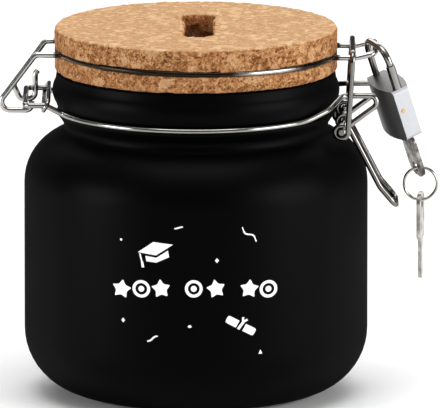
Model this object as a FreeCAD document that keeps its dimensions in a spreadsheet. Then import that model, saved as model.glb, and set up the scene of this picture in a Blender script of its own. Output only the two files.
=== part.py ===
import FreeCAD
import Part
import Sketcher
import math
import os
from FreeCAD import Vector

# Money box: a clip-top jar with a cork lid that has a coin slot, a bent-wire closure and a small padlock.
# Millimetres. Origin at the centre of the jar's base, X towards the latch, Y to the back, Z up.

DRIVING_SIZES = {
    # Jar
    "jar_radius": 57.5,
    "jar_wall": 3.0,
    "jar_floor": 5.0,
    "base_flat": 36.0,
    "shoulder_level": 71.0,
    "shoulder_round": 18.0,
    "neck_radius": 44.3,
    "neck_hollow": 3.0,
    "ridge_radius": 46.3,
    "bead_radius": 48.15,
    "rim_level": 109.0,
    "rim_round": 1.2,
    "mouth_radius": 40.6,
    # Cork lid
    "lid_radius": 47.25,
    "lid_level": 109.1,
    "lid_thickness": 14.5,
    "lid_edge": 0.6,
    "plug_radius": 39.6,
    "plug_taper": 2.0,
    "plug_depth": 5.0,
    "slot_width": 10.2,
    "slot_length": 42.6,
    "slot_round": 3.2,
    "slot_offset": 1.0,
    "lid_wire_level": 115.45,
    "lid_wire_tilt": 0.75,
    "lid_wire_ring": 46.45,
    # Closure wires
    "wire_dia": 1.9,
    "wire_gap": 0.1,
    "neck_wire_level": 96.3,
    "neck_wire_ring": 46.9,
    "hinge_reach": 57.0,
    "hinge_level": 99.5,
    "hinge_leg_spread": 16.7,
    "hook_spread": 13.5,
    "tongue_spread": 11.5,
    "tongue_reach": 59.9,
    "tongue_rise": 1.55,
    "eye_round": 2.2,
    "pivot_reach": 49.6,
    "pivot_level": 93.4,
    "corner_reach": 58.1,
    "corner_level": 99.7,
    "crank_throw": 3.1,
    "crank_angle": 252.0,
    "lever_spread": 8.2,
    "crank_spread": 13.9,
    "bail_spread": 16.25,
    "bail_reach": 52.4,
    "bail_level": 116.9,
    "link_wire_dia": 1.5,
    # Padlock
    "hang_side": -4.84,
    "hang_shift": 1.47,
    "case_width": 20.0,
    "case_end_thickness": 5.6,
    "case_thickness": 9.8,
    "case_height": 18.6,
    "case_drop": 11.62,
    "case_round": 6.0,
    "case_edge": 1.3,
    "shackle_dia": 2.3,
    "shackle_spread": 7.9,
    "shackle_top": 2.65,
    "shackle_bend": 5.5,
    "sleeve_dia": 3.1,
    "cylinder_offset": 3.2,
    "cylinder_radius": 2.2,
    "cylinder_length": 13.5,
    "pin_pitch": 2.2,
    "pin_radius": 0.55,
    "peg_throw": 0.85,
    "peg_radius": 0.5,
    "bolt_travel": 1.2,
    "brass_pin_radius": 0.85,
    "brass_pin_drop": 7.8,
    "brass_pin_side": -1.2,
    "brass_pin_length": 3.8,
    "lock_turn": -64.4,
    "lock_pitch": 6.4,
    "lock_roll": 21.1,
    # Keys and ring
    "key_thickness": 1.2,
    "blade_width": 3.2,
    "blade_length": 12.6,
    "bow_width": 9.4,
    "bow_length": 16.6,
    "key_hole_radius": 1.8,
    "key_hole_drop": 13.0,
    "ring_radius": 5.55,
    "ring_wire_dia": 0.9,
}

# Where the tongue's legs bend up, how far the shackle lifts, and the depths of the key's cuts
TONGUE_BEND = 53.6
SHACKLE_LIFT = 6.0
BITTING = (0.25, 0.7, 0.45, 0.15)

doc = FreeCAD.newDocument("money_box")
sheet = doc.addObject("Spreadsheet::Sheet", "dims")
for row, (alias, size) in enumerate(DRIVING_SIZES.items(), start=1):
    sheet.set(f"A{row}", alias)
    sheet.set(f"B{row}", str(size))
    sheet.setAlias(f"B{row}", alias)
doc.recompute()


class Size:
    """A length that keeps its number and the sheet expression that gives it."""

    def __init__(self, number, text):
        self.number = number
        self.text = text

    def join(self, sign, other, number):
        return Size(number, f"({self.text} {sign} {as_size(other).text})")

    def __add__(self, other):
        return self.join("+", other, self.number + as_size(other).number)

    def __sub__(self, other):
        return self.join("-", other, self.number - as_size(other).number)

    def __mul__(self, other):
        return self.join("*", other, self.number * as_size(other).number)

    def __truediv__(self, other):
        return self.join("/", other, self.number / as_size(other).number)

    def __neg__(self):
        return Size(-self.number, f"(0 - {self.text})")


def as_size(value):
    return value if isinstance(value, Size) else Size(float(value), f"({value})")


def dim(alias):
    return Size(float(sheet.get(alias)), f"dims.{alias}")


def num(alias):
    return float(sheet.get(alias))


def bind(item, **sizes):
    """Binds an object's properties to sheet expressions."""
    for name, size in sizes.items():
        item.setExpression(name, as_size(size).text)
    return item


# Sketches


class Outline:
    """A closed sketch profile whose corners and radii are bound to the sheet."""

    def __init__(self, body, name, plane):
        self.sketch = body.newObject("Sketcher::SketchObject", name)
        origin_plane = [item for item in body.Origin.OriginFeatures if item.Role == plane][0]
        self.sketch.AttachmentSupport = [(origin_plane, "")]
        self.sketch.MapMode = "FlatFace"
        self.ends = []
        self.pieces = []

    def start(self, x, y):
        self.first = self.last = (as_size(x), as_size(y))
        return self

    def place(self):
        return Vector(self.last[0].number, self.last[1].number, 0)

    def line(self, x, y):
        begin = self.place()
        self.last = (as_size(x), as_size(y))
        self.pieces.append((self.sketch.addGeometry(Part.LineSegment(begin, self.place())), 1, 2, self.last))
        return self

    def arc(self, x, y, radius, left):
        """An arc under a half circle, with its centre on the left or the right of the way there."""
        begin = self.place()
        self.last = (as_size(x), as_size(y))
        end = self.place()
        chord = end - begin
        reach = as_size(radius).number
        side = Vector(-chord.y, chord.x, 0).normalize() * (1 if left else -1)
        middle = (begin + end) / 2
        centre = middle + side * math.sqrt(reach**2 - (chord.Length / 2) ** 2)
        first = math.atan2(begin.y - centre.y, begin.x - centre.x)
        second = math.atan2(end.y - centre.y, end.x - centre.x)
        circle = Part.Circle(centre, Vector(0, 0, 1), reach)
        if left:
            index = self.sketch.addGeometry(Part.ArcOfCircle(circle, first, second))
            self.pieces.append((index, 1, 2, self.last))
        else:
            index = self.sketch.addGeometry(Part.ArcOfCircle(circle, second, first))
            self.pieces.append((index, 2, 1, self.last))
        self.bound("Radius", as_size(radius), index)
        return self

    def bound(self, kind, size, *where):
        index = self.sketch.addConstraint(Sketcher.Constraint(kind, *where, size.number))
        self.sketch.setExpression(f"Constraints[{index}]", size.text)

    def finish(self):
        if self.last is not self.first:
            gap = self.place() - Vector(self.first[0].number, self.first[1].number, 0)
            if gap.Length > 1e-6:
                self.line(*self.first)
        for here, after in zip(self.pieces, self.pieces[1:] + self.pieces[:1]):
            self.sketch.addConstraint(Sketcher.Constraint("Coincident", here[0], here[2], after[0], after[1]))
        for index, _, end, (x, y) in self.pieces:
            self.bound("DistanceX", x, -1, 1, index, end)
            self.bound("DistanceY", y, -1, 1, index, end)
        return self.sketch


def circle_sketch(body, name, plane, x, y, radius):
    """A sketch with one circle bound to the sheet."""
    outline = Outline(body, name, plane)
    index = outline.sketch.addGeometry(
        Part.Circle(Vector(as_size(x).number, as_size(y).number, 0), Vector(0, 0, 1), as_size(radius).number)
    )
    outline.bound("Radius", as_size(radius), index)
    outline.bound("DistanceX", as_size(x), -1, 1, index, 3)
    outline.bound("DistanceY", as_size(y), -1, 1, index, 3)
    return outline.sketch


def new_body(name):
    body = doc.addObject("PartDesign::Body", name)
    body.Label = name
    return body


def revolve(body, sketch):
    feature = body.newObject("PartDesign::Revolution", sketch.Name + "_turned")
    feature.Profile = sketch
    feature.ReferenceAxis = (sketch, ["V_Axis"])
    feature.Angle = 360
    return feature


def pad(body, sketch, length):
    feature = body.newObject("PartDesign::Pad", sketch.Name + "_pad")
    feature.Profile = sketch
    feature.Midplane = True
    bind(feature, Length=length)
    return feature


def cut_through(body, sketch, length):
    feature = body.newObject("PartDesign::Pocket", sketch.Name + "_cut")
    feature.Profile = sketch
    feature.Midplane = True
    bind(feature, Length=length)
    return feature


# Primitives


def cylinder(name, radius, height, at, direction=Vector(0, 0, 1)):
    """A cylinder bound to the sheet, from the point at along the direction."""
    item = bind(doc.addObject("Part::Cylinder", name), Radius=radius, Height=height)
    item.Placement = FreeCAD.Placement(at, FreeCAD.Rotation(Vector(0, 0, 1), direction))
    return item


def block(name, length, width, height, at):
    """A box bound to the sheet, with its lowest corner at the point."""
    item = bind(doc.addObject("Part::Box", name), Length=length, Width=width, Height=height)
    item.Placement.Base = at
    return item


def joined(name, items):
    fuse = doc.addObject("Part::MultiFuse", name)
    fuse.Shapes = items
    return fuse


def carved(name, base, tools):
    cut = doc.addObject("Part::Cut", name)
    cut.Base = base
    cut.Tool = tools[0] if len(tools) == 1 else joined(name + "_tools", tools)
    return cut


# Bent wire


def wire_path(corners, closed=False):
    """A path of straight runs and tangent bends. Each corner is (point, bend radius)."""
    points = [Vector(*corner[0]) for corner in corners]
    count = len(points)
    bends = []
    for index in range(count) if closed else range(1, count - 1):
        corner = points[index]
        into = (corner - points[index - 1]).normalize()
        out = (points[(index + 1) % count] - corner).normalize()
        radius = corners[index][1]
        reach = radius * math.tan(into.getAngle(out) / 2)
        towards_centre = (out - into).normalize()
        middle = corner + towards_centre * (math.hypot(radius, reach) - radius)
        bends.append((corner - into * reach, middle, corner + out * reach))
    here = bends[-1][2] if closed else points[0]
    edges = []
    for begin, middle, end in bends:
        if (begin - here).Length > 1e-4:
            edges.append(Part.makeLine(here, begin))
        else:
            begin = here
        edges.append(Part.Arc(begin, middle, end).toShape())
        here = end
    if not closed:
        edges.append(Part.makeLine(here, points[-1]))
    return Part.Wire(edges)


def drawn_wire(name, corners, diameter, closed=False, placement=None):
    """Round wire bent along the corners."""
    path = wire_path(corners, closed)
    first = path.OrderedEdges[0]
    begin = first.valueAt(first.FirstParameter)
    heading = first.tangentAt(first.FirstParameter)
    section = Part.Wire([Part.makeCircle(diameter / 2, begin, heading)])
    item = doc.addObject("Part::Feature", name)
    item.Label = name
    item.Shape = path.makePipeShell([section], True, False)
    if placement:
        item.Placement = placement
    return item


def coil(radius, pitch, turns, diameter, start_level):
    """An open coil of round wire about the Z axis, drawn as quarter-turn arcs."""
    quarters = int(turns * 4)
    edges = []
    for quarter in range(quarters):
        stations = []
        for part in (0, 0.5, 1):
            angle = (quarter + part) * math.pi / 2
            level = start_level + pitch * (quarter + part) / 4
            stations.append(Vector(radius * math.cos(angle), radius * math.sin(angle), level))
        edges.append(Part.Arc(*stations).toShape())
    section = Part.Wire([Part.makeCircle(diameter / 2, Vector(radius, 0, start_level), Vector(0, 1, 0))])
    return Part.Wire(edges).makePipeShell([section], True, False)


def mirrored(corners):
    """The same corners on the other side of the middle plane, in reverse order."""
    return [((x, -y, z), radius) for (x, y, z), radius in reversed(corners)]


def ring_corners(radius, first_angle, last_angle, count, level):
    """Corners round a circle, whose bends meet and so draw the circle itself."""
    step = math.radians(last_angle - first_angle) / count
    corners = []
    for index in range(count):
        angle = math.radians(first_angle) + step * (index + 0.5)
        x = radius / math.cos(step / 2) * math.cos(angle)
        y = radius / math.cos(step / 2) * math.sin(angle)
        corners.append(((x, y, level(x)), radius * 0.9995))
    return corners


# Jar


def make_jar():
    """Glass jar: flat base, round foot, straight wall, round shoulder, hollow neck and a beaded mouth."""
    outer = dim("jar_radius")
    wall = dim("jar_wall")
    base = dim("base_flat")
    foot = outer - base
    level = dim("shoulder_level")
    turn = dim("shoulder_round")
    neck = dim("neck_radius")
    hollow = dim("neck_hollow")
    rim = dim("rim_level")
    edge = dim("rim_round")
    mouth = dim("mouth_radius")
    floor = dim("jar_floor")
    # The hollow of the neck touches the shoulder's circle from outside
    shoulder_centre = outer - turn
    across = (neck + hollow - shoulder_centre).number
    rise = math.sqrt((turn + hollow).number ** 2 - across**2)
    share = turn.number / (turn + hollow).number
    hollow_level = level + rise
    diagonal = hollow * math.sqrt(0.5)
    wire_level = dim("neck_wire_level")
    groove = dim("wire_dia") / 2 + dim("wire_gap")
    groove_side = dim("neck_wire_ring") - groove * 0.342
    groove_half = groove * 0.94
    bead_foot = Size(98.4, "98.4")
    bead_top = Size(106.2, "106.2")
    body = new_body("jar")
    line = Outline(body, "jar_profile", "XZ_Plane")
    line.start(0, 0).line(base, 0)
    line.arc(outer, foot, foot, True)
    line.line(outer, level)
    line.arc(shoulder_centre + across * share, level + rise * share, turn, True)
    line.arc(neck, hollow_level, hollow, False)
    line.arc(neck + hollow - diagonal, hollow_level + diagonal, hollow, False)
    line.line(dim("ridge_radius") - 0.2, wire_level - 2.3)
    line.arc(groove_side, wire_level - groove_half, 1.6, True)
    line.arc(dim("neck_wire_ring") - groove, wire_level, groove, False)
    line.arc(groove_side, wire_level + groove_half, groove, False)
    line.line(groove_side + 0.4, bead_foot)
    line.arc(dim("bead_radius") - 1.15, bead_top, 6.7, True)
    line.line(mouth + 6.1, rim - edge)
    line.arc(mouth + 4.9, rim, edge, True)
    line.line(mouth + edge, rim)
    line.arc(mouth, rim - edge, edge, True)
    inner_turn = turn - wall
    lean = (mouth - shoulder_centre).number
    line.line(mouth, level + math.sqrt(inner_turn.number**2 - lean**2))
    line.arc(outer - wall, level, inner_turn, False)
    line.line(outer - wall, foot + 1.0)
    line.arc(base + 1.5, floor, foot - wall - 1.5, False)
    line.line(0, floor)
    revolve(body, line.finish())
    return body


# Cork lid


def make_cork_lid():
    """Cork disc with a tapered plug below, a groove for the wire round its edge and a coin slot."""
    radius = dim("lid_radius")
    level = dim("lid_level")
    top = level + dim("lid_thickness")
    edge = dim("lid_edge")
    plug = dim("plug_radius")
    depth = dim("plug_depth")
    body = new_body("cork_blank")
    line = Outline(body, "cork_profile", "XZ_Plane")
    line.start(0, level - depth).line(plug - dim("plug_taper"), level - depth)
    line.line(plug, level).line(radius - edge, level).line(radius, level + edge)
    line.line(radius, top - edge).line(radius - edge, top).line(0, top)
    revolve(body, line.finish())
    half_width = dim("slot_width") / 2
    half_length = dim("slot_length") / 2
    corner = dim("slot_round")
    left = dim("slot_offset") - half_width
    right = dim("slot_offset") + half_width
    slot = Outline(body, "slot_outline", "XY_Plane")
    slot.start(left + corner, -half_length).line(right - corner, -half_length)
    slot.arc(right, -half_length + corner, corner, True).line(right, half_length - corner)
    slot.arc(right - corner, half_length, corner, True).line(left + corner, half_length)
    slot.arc(left, half_length - corner, corner, True).line(left, -half_length + corner)
    slot.arc(left + corner, -half_length, corner, True)
    cut_through(body, slot.finish(), top * 3)
    groove = doc.addObject("Part::Torus", "cork_groove")
    bind(groove, Radius1=dim("lid_wire_ring"), Radius2=dim("wire_dia") / 2 + dim("wire_gap") / 2)
    groove.Placement.Base = Vector(0, 0, num("lid_wire_level"))
    groove.Placement.Rotation = FreeCAD.Rotation(Vector(0, 1, 0), num("lid_wire_tilt"))
    lid = carved("cork_lid", body, [groove])
    return lid


# Closure wires


def lid_wire_height(x):
    """The lid's wire lies in a plane that drops a little towards the latch."""
    return num("lid_wire_level") - x * math.tan(math.radians(num("lid_wire_tilt")))


def tongue_level():
    """Level of the tongue's closed end, a little above the place where its legs bend up."""
    return lid_wire_height(TONGUE_BEND) + num("tongue_rise")


def leave_angle(spread, ring):
    """Angle where a straight leg leaves the ring, with room for its bend."""
    return math.degrees(math.asin(spread / ring)) + 2.2


def leave_point(spread, ring):
    """Corner between the ring and a straight leg, as distances along X and Y."""
    angle = math.radians(leave_angle(spread, ring))
    along = (ring * math.sin(angle) - spread) / math.cos(angle)
    return ring * math.cos(angle) + along * math.sin(angle), spread


def make_lid_wire():
    """One wire: rear hook, round one side of the lid, tongue, round the other side, rear hook."""
    ring = num("lid_wire_ring")
    hook = num("hook_spread")
    tongue = num("tongue_spread")
    rear = leave_angle(hook, ring)
    front = leave_angle(tongue, ring)
    rear_x = -leave_point(hook, ring)[0]
    front_x = leave_point(tongue, ring)[0]
    pin_x = -num("hinge_reach")
    pin_z = num("hinge_level")
    below = pin_z - 2.05
    tongue_end = num("tongue_reach")
    near_hook = [
        ((pin_x + 2.15, -hook, pin_z + 0.9), 0),
        ((pin_x + 2.15, -hook, below), 1.9),
        ((pin_x - 10.6, -hook, below), 2.75),
        ((-53.6, -hook, lid_wire_height(-53.6)), 2.2),
        ((rear_x, -hook, lid_wire_height(rear_x)), 2.2),
    ]
    near_side = ring_corners(ring, rear - 180, -front, 5, lid_wire_height)
    near_tongue = [
        ((front_x, -tongue, lid_wire_height(front_x)), 2.2),
        ((TONGUE_BEND, -tongue, lid_wire_height(TONGUE_BEND)), 6),
        ((tongue_end, -tongue, tongue_level()), 2.2),
    ]
    far_hook = [
        ((rear_x, hook, lid_wire_height(rear_x)), 2.2),
        ((-50.6, hook, 115.9), 2),
        ((pin_x - 4.3, hook, pin_z + 1.7), 2.2),
        ((pin_x - 2.0, hook, pin_z - 3.2), 1.7),
        ((pin_x + 3.1, hook, pin_z - 3.2), 2.2),
        ((pin_x + 3.1, hook, pin_z + 5.2), 1.5),
        ((pin_x + 3.9, hook, pin_z + 6.4), 0),
    ]
    corners = near_hook + near_side + near_tongue + mirrored(near_tongue) + mirrored(near_side) + far_hook
    return drawn_wire("lid_wire", corners, num("wire_dia"))


def make_neck_wire():
    """One wire: front eye, round the neck, crossbar at the rear as the hinge pin, round to the other eye."""
    ring = num("neck_wire_ring")
    level = num("neck_wire_level")
    leg = num("hinge_leg_spread")
    side = num("tongue_spread")
    eye = num("eye_round")
    pivot = Vector(num("pivot_reach"), 0, num("pivot_level"))
    corner = Vector(num("corner_reach"), 0, num("corner_level"))
    slope = (corner - pivot).normalize()
    out = Vector(slope.z, 0, -slope.x)
    below_pivot = (pivot + out * eye) - slope * (eye * (1 + out.x) / slope.x)
    past_corner = (corner + out * eye) + slope * (eye * (1 - out.z) / slope.z)
    free_angle = math.radians(45)
    lift_start = 5.0
    lift_end = 15.5

    def tangent(along, height):
        """A point on the line that leaves the ring at the free angle."""
        x = ring * math.cos(free_angle) + along * math.sin(free_angle)
        y = -ring * math.sin(free_angle) + along * math.cos(free_angle)
        return (x, y, height)

    front = [
        ((pivot.x + 1.2, -side, pivot.z + eye), 0),
        ((pivot.x - eye, -side, pivot.z + eye), eye),
        ((below_pivot.x, -side, below_pivot.z), eye * 0.999),
        ((past_corner.x, -side, corner.z + eye), eye),
        ((48.9, -side, corner.z + eye), 3),
        (tangent(lift_end, level + 2.6), 6),
        (tangent(lift_start, level + 0.1), 36),
    ]
    around = ring_corners(ring, -45, -157, 4, lambda x: level)
    rear_angle = math.radians(23)
    reach = (ring * math.sin(rear_angle) - leg) / math.cos(rear_angle)
    rear = [
        ((-ring * math.cos(rear_angle) - reach * math.sin(rear_angle), -leg, level), 2.2),
        ((-50.2, -leg, num("hinge_level")), 4),
        ((-num("hinge_reach"), -leg, num("hinge_level")), 2.0),
    ]
    half = front + around + rear
    return drawn_wire("neck_wire", half + mirrored(half), num("wire_dia"))


def make_hinge_link():
    """Oval ring round the two rear legs of the neck wire, leaning a little."""
    half_height = (num("wire_dia") + num("link_wire_dia")) / 2 + 0.1
    lean = math.radians(27)
    centre_x = -50.1
    end = num("hinge_leg_spread") + half_height
    low = (centre_x - half_height * math.sin(lean), num("hinge_level") - half_height * math.cos(lean))
    high = (centre_x + half_height * math.sin(lean), num("hinge_level") + half_height * math.cos(lean))
    bend = half_height * 0.999
    corners = [
        ((low[0], -end, low[1]), bend),
        ((high[0], -end, high[1]), bend),
        ((high[0], end, high[1]), bend),
        ((low[0], end, low[1]), bend),
    ]
    return drawn_wire("hinge_link", corners, num("link_wire_dia"), closed=True)


def crank_pin():
    """Centre of the pin that carries the bail, a short throw below the lever's pivot."""
    angle = math.radians(num("crank_angle"))
    throw = num("crank_throw")
    return num("pivot_reach") + throw * math.cos(angle), num("pivot_level") + throw * math.sin(angle)


def make_latch_lever():
    """U-shaped lever: cranked pin, pivot in the neck wire's eye, straight leg, kink and round tip."""
    pin_x, pin_z = crank_pin()
    crank = num("crank_spread")
    leg = num("lever_spread")
    pivot_x = num("pivot_reach")
    pivot_z = num("pivot_level")
    half = [
        ((pin_x, -num("bail_spread") - 1.7, pin_z), 0),
        ((pin_x, -crank, pin_z), 1.45),
        ((pivot_x, -crank, pivot_z), 1.45),
        ((pivot_x, -leg, pivot_z), 1.5),
        ((61.6, -leg, 70.2), 6),
        ((67.0, -leg, 63.8), 3.2),
    ]
    return drawn_wire("latch_lever", half + mirrored(half), num("wire_dia"))


def make_latch_bail():
    """U-shaped wire over the tongue, with an eye on each crank pin."""
    pin_x, pin_z = crank_pin()
    eye = num("wire_dia") + 0.25
    side = num("bail_spread")
    half = [
        ((pin_x + 0.65, -side, pin_z + eye), 0),
        ((pin_x - eye, -side, pin_z + eye), eye * 0.999),
        ((pin_x - eye, -side, pin_z - eye), eye * 0.999),
        ((pin_x + eye, -side, pin_z - eye), eye * 0.999),
        ((pin_x + eye, -side, pin_z + 0.5), 12),
        ((num("bail_reach"), -side, num("bail_level")), 3),
    ]
    return drawn_wire("latch_bail", half + mirrored(half), num("wire_dia"))


# Padlock, in its own frame: X from the far leg to the near leg, Z up the shackle, origin where it hangs


def lock_placement():
    """The padlock hangs on the tongue's closed end, a little to one side of its middle."""
    hang = Vector(num("tongue_reach"), num("hang_side"), tongue_level())
    turn = FreeCAD.Rotation(num("lock_turn"), num("lock_pitch"), num("lock_roll"))
    return FreeCAD.Placement(hang + turn.multVec(Vector(num("hang_shift"), 0, 0)), turn)


def pin_levels():
    """Levels of the four pin chambers, from the keyhole up."""
    lowest = -num("case_drop") - num("case_height") + 2.4
    return [lowest + num("pin_pitch") * index for index in range(4)]


def brass_pin_cylinder(name, length):
    """The brass pin runs in from the near narrow side and passes the long leg on its front."""
    inner_end = num("case_width") / 2 - num("brass_pin_length")
    start = Vector(inner_end, num("brass_pin_side"), -num("case_drop") - num("brass_pin_drop"))
    return cylinder(name, dim("brass_pin_radius"), length, start, Vector(1, 0, 0))


def make_case(place):
    """Case with full broad faces, bored for the legs, the cylinder, the bolt, the pins and the brass pin."""
    half = dim("case_width") / 2
    top = -dim("case_drop")
    bottom = top - dim("case_height")
    turn = dim("case_round")
    edge = dim("case_edge")
    front = new_body("case_front")
    line = Outline(front, "case_front_outline", "XZ_Plane")
    line.start(-half + turn, bottom).line(half - edge, bottom)
    line.arc(half, bottom + edge, edge, True).line(half, top - edge)
    line.arc(half - edge, top, edge, True).line(-half + edge, top)
    line.arc(-half, top - edge, edge, True).line(-half, bottom + turn)
    line.arc(-half + turn, bottom, turn, True)
    pad(front, line.finish(), dim("case_thickness") + 1)
    plan = new_body("case_plan")
    end = dim("case_end_thickness") / 2
    fullness = dim("case_thickness") / 2 - end
    sweep = (half * half + fullness * fullness) / (fullness * 2)
    line = Outline(plan, "case_plan_outline", "XY_Plane")
    line.start(half, -end).line(half, end)
    line.arc(-half, end, sweep, True).line(-half, -end)
    line.arc(half, -end, sweep, True)
    pad(plan, line.finish(), (dim("case_drop") + dim("case_height")) * 2.1)
    blank = doc.addObject("Part::MultiCommon", "case_blank")
    blank.Shapes = [front, plan]
    spread = num("shackle_spread")
    bore = dim("shackle_dia") / 2 + 0.1
    case_top = -num("case_drop")
    case_bottom = case_top - num("case_height")
    along = Vector(1, 0, 0)
    tools = [
        cylinder("short_leg_bore", bore, 7.6, Vector(-spread, 0, case_top - 7.5)),
        cylinder("long_leg_bore", bore, 17.1, Vector(spread, 0, case_top - 17)),
        cylinder("sleeve_seat", dim("sleeve_dia") / 2, 1.6, Vector(spread, 0, case_top - 1.5)),
        cylinder(
            "cylinder_bore",
            dim("cylinder_radius") + 0.05,
            dim("cylinder_length") + 0.3,
            Vector(num("cylinder_offset"), 0, case_bottom - 0.1),
        ),
        block("bolt_chamber", spread + 5.6, 4.3, 1.9, Vector(-spread, -2.15, case_top - 4.95)),
        brass_pin_cylinder("brass_pin_hole", dim("brass_pin_length") + 0.1),
    ]
    for index, level in enumerate(pin_levels()):
        length = half + dim("cylinder_offset")
        start = Vector(-half.number - 0.1, 0, level)
        tools.append(cylinder(f"pin_chamber_{index}", dim("pin_radius") + 0.05, length, start, along))
    case = carved("padlock_case", blank, tools)
    case.Placement = place
    return case


def make_shackle(place):
    """Shackle: a short leg with a notch for the bolt and a long leg with a flat run for the brass pin."""
    spread = num("shackle_spread")
    top = num("shackle_top")
    bend = num("shackle_bend")
    case_top = -num("case_drop")
    half = num("shackle_dia") / 2
    corners = [
        ((-spread, 0, case_top - 5.9), 0),
        ((-spread, 0, top), bend),
        ((spread, 0, top), bend),
        ((spread, 0, case_top - 16.4), 0),
    ]
    path = wire_path(corners)
    section = Part.Wire([Part.makeCircle(half, Vector(*corners[0][0]), Vector(0, 0, 1))])
    bent = path.makePipeShell([section], True, False)
    notch = Part.makeBox(2 * half, 4 * half, 2.0, Vector(-spread + 0.05, -2 * half, case_top - 5.0))
    run_side = num("brass_pin_side") + num("brass_pin_radius") + 0.04
    run_low = case_top - num("brass_pin_drop") - num("brass_pin_radius") - SHACKLE_LIFT - 0.35
    run = Part.makeBox(4 * half, 2 * half, 8.4, Vector(spread - 2 * half, run_side - 2 * half, run_low))
    item = doc.addObject("Part::Feature", "shackle")
    item.Shape = bent.cut(notch).cut(run)
    item.Placement = place
    return item


def make_sleeve(place):
    """Steel sleeve on the case round the long leg."""
    spread = num("shackle_spread")
    foot = Vector(spread, 0, -num("case_drop") - 1.5)
    outer = cylinder("sleeve_outer", dim("sleeve_dia") / 2, 10.0, foot)
    inner = cylinder("sleeve_inner", dim("shackle_dia") / 2 + 0.1, 10.2, foot - Vector(0, 0, 0.1))
    sleeve = carved("shackle_sleeve", outer, [inner])
    sleeve.Placement = place
    return sleeve


def make_brass_pin(place):
    """Brass pin, flush with the narrow side, which keeps the long leg in the case."""
    pin = brass_pin_cylinder("retaining_pin", dim("brass_pin_length"))
    pin.Placement = place.multiply(pin.Placement)
    return pin


def make_bolt(place):
    """Bolt plate with a nose for the short leg's notch and a slot for the cylinder's peg."""
    spread = num("shackle_spread")
    case_top = -num("case_drop")
    nose_x = -spread + num("shackle_dia") / 2 + 0.25
    peg_x = num("cylinder_offset") + num("peg_throw") * math.sqrt(0.5)
    level = case_top - 4.8
    plate = block("bolt_plate", peg_x + 1.1 - nose_x - 2.2, 4.0, 1.6, Vector(nose_x + 2.2, -2.0, level))
    nose = block("bolt_nose", 2.3, 1.5, 1.6, Vector(nose_x, -0.75, level))
    slot_width = num("peg_radius") * 2 + 0.3
    slot = block("bolt_slot", slot_width, 1.6, 1.8, Vector(peg_x - slot_width / 2, -1.5, level - 0.1))
    bolt = carved("lock_bolt", joined("bolt_blank", [plate, nose]), [slot])
    bolt.Placement = place
    return bolt


def make_cylinder_plug(place):
    """Cylinder plug with a keyway, pin bores and an off-centre peg that draws the bolt."""
    offset = num("cylinder_offset")
    case_bottom = -num("case_drop") - num("case_height")
    radius = dim("cylinder_radius")
    throw = num("peg_throw") * math.sqrt(0.5)
    length = num("cylinder_length")
    barrel = cylinder("plug_barrel", radius, dim("cylinder_length") - 0.1, Vector(offset, 0, case_bottom))
    peg = cylinder(
        "plug_peg", dim("peg_radius"), 1.95, Vector(offset + throw, -throw, case_bottom + length - 0.15)
    )
    keyway_width = num("blade_width") + 0.2
    keyway = block(
        "keyway",
        dim("blade_width") + 0.2,
        dim("key_thickness") + 0.16,
        length - 0.2,
        Vector(offset - keyway_width / 2, -num("key_thickness") / 2 - 0.08, case_bottom - 0.1),
    )
    tools = [keyway]
    bore = dim("pin_radius") + 0.05
    for index, level in enumerate(pin_levels()):
        start = Vector(offset - num("cylinder_radius") - 0.2, 0, level)
        tools.append(cylinder(f"plug_pin_bore_{index}", bore, 1.4, start, Vector(1, 0, 0)))
    plug = carved("cylinder_plug", joined("plug_blank", [barrel, peg]), tools)
    plug.Placement = place
    return plug


def make_key_pins(place):
    """Key pins: each stands on its cut of the key and ends at the shear line."""
    offset = num("cylinder_offset")
    shear = offset - num("cylinder_radius") + 0.1
    blade_edge = offset - num("blade_width") / 2
    radius = num("pin_radius")
    pins = []
    for index, level in enumerate(pin_levels()):
        tip = blade_edge + BITTING[index] - 0.03
        pins.append(Part.makeCylinder(radius, tip - shear, Vector(shear, 0, level), Vector(1, 0, 0)))
    item = doc.addObject("Part::Feature", "key_pins")
    item.Shape = Part.makeCompound(pins)
    item.Placement = place
    return item


def make_driver_pins(place):
    """Driver pins in the case, level with the shear line."""
    shear = num("cylinder_offset") - num("cylinder_radius") - 0.08
    pins = []
    for level in pin_levels():
        pins.append(Part.makeCylinder(num("pin_radius"), 2.6, Vector(shear - 2.6, 0, level), Vector(1, 0, 0)))
    item = doc.addObject("Part::Feature", "driver_pins")
    item.Shape = Part.makeCompound(pins)
    item.Placement = place
    return item


def make_pin_springs(place):
    """Springs that press the driver pins towards the key."""
    shear = num("cylinder_offset") - num("cylinder_radius") - 0.08
    wire = 0.2
    turns = 4
    room = 2.4
    springs = []
    for level in pin_levels():
        spring = coil(num("pin_radius") - 0.15, (room - wire) / turns, turns, wire, wire / 2)
        spring.Placement = FreeCAD.Placement(
            Vector(shear - 2.6, 0, level), FreeCAD.Rotation(Vector(0, 0, 1), Vector(-1, 0, 0))
        )
        springs.append(spring)
    item = doc.addObject("Part::Feature", "pin_springs")
    item.Shape = Part.makeCompound(springs)
    item.Placement = place
    return item


def make_chamber_plugs(place):
    """Plugs that close the pin chambers, flush with the far narrow side."""
    shear = num("cylinder_offset") - num("cylinder_radius") - 0.08
    outside = -num("case_width") / 2
    inside = shear - 2.6 - 2.4
    radius = num("pin_radius") + 0.05
    plugs = []
    for level in pin_levels():
        plugs.append(Part.makeCylinder(radius, inside - outside, Vector(outside, 0, level), Vector(1, 0, 0)))
    item = doc.addObject("Part::Feature", "chamber_plugs")
    item.Shape = Part.makeCompound(plugs)
    item.Placement = place
    return item


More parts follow.
